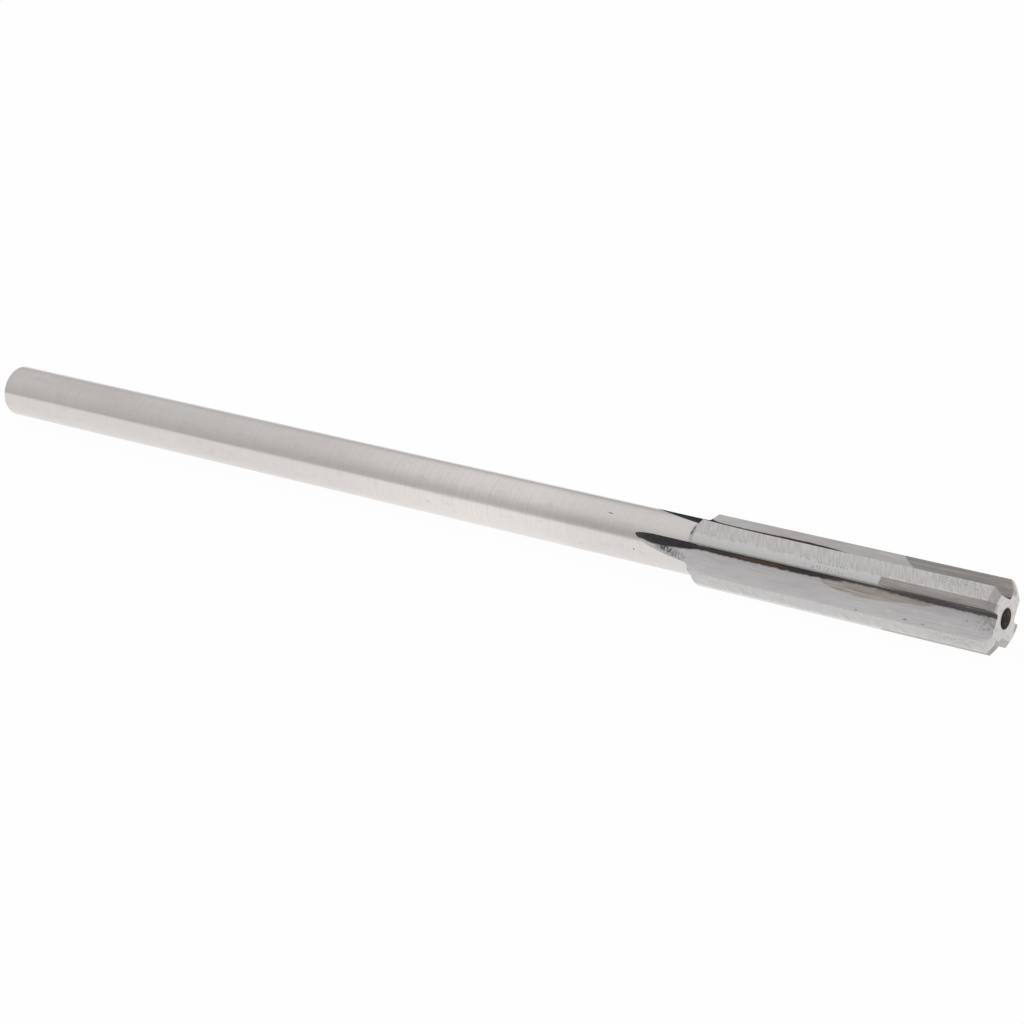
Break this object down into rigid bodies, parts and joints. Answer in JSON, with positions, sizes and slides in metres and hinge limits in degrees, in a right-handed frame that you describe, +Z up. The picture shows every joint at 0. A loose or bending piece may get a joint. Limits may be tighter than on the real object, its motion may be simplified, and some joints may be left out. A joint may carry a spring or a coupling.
{
  "type": "machine reamer",
  "caption": "Straight-shank machine reamer with straight flutes and brazed carbide tips, for finishing drilled holes to size.",
  "frame": {"origin": "centre of the shank's rear face, on the tool's axis", "axes": "+X along the axis towards the cutting end, +Z up with one flute facing straight down, as the tool lies on a flat floor"},
  "size_m": [0.1778, 0.0092, 0.0092],
  "materials": {
    "steel": "ground tool steel, bright on the shank, crosswise grinding marks on the lands",
    "carbide": "ground tungsten carbide, darker grey than the steel",
    "braze": "thin brazed joint, pinkish brown"
  },
  "bodies": {
    "root": {"body": "steel", "carbide_tip_1": "carbide", "carbide_tip_2": "carbide", "carbide_tip_3": "carbide", "carbide_tip_4": "carbide", "braze_seam_1": "braze", "braze_seam_2": "braze", "braze_seam_3": "braze", "braze_seam_4": "braze"}
  },
  "joints": []
}
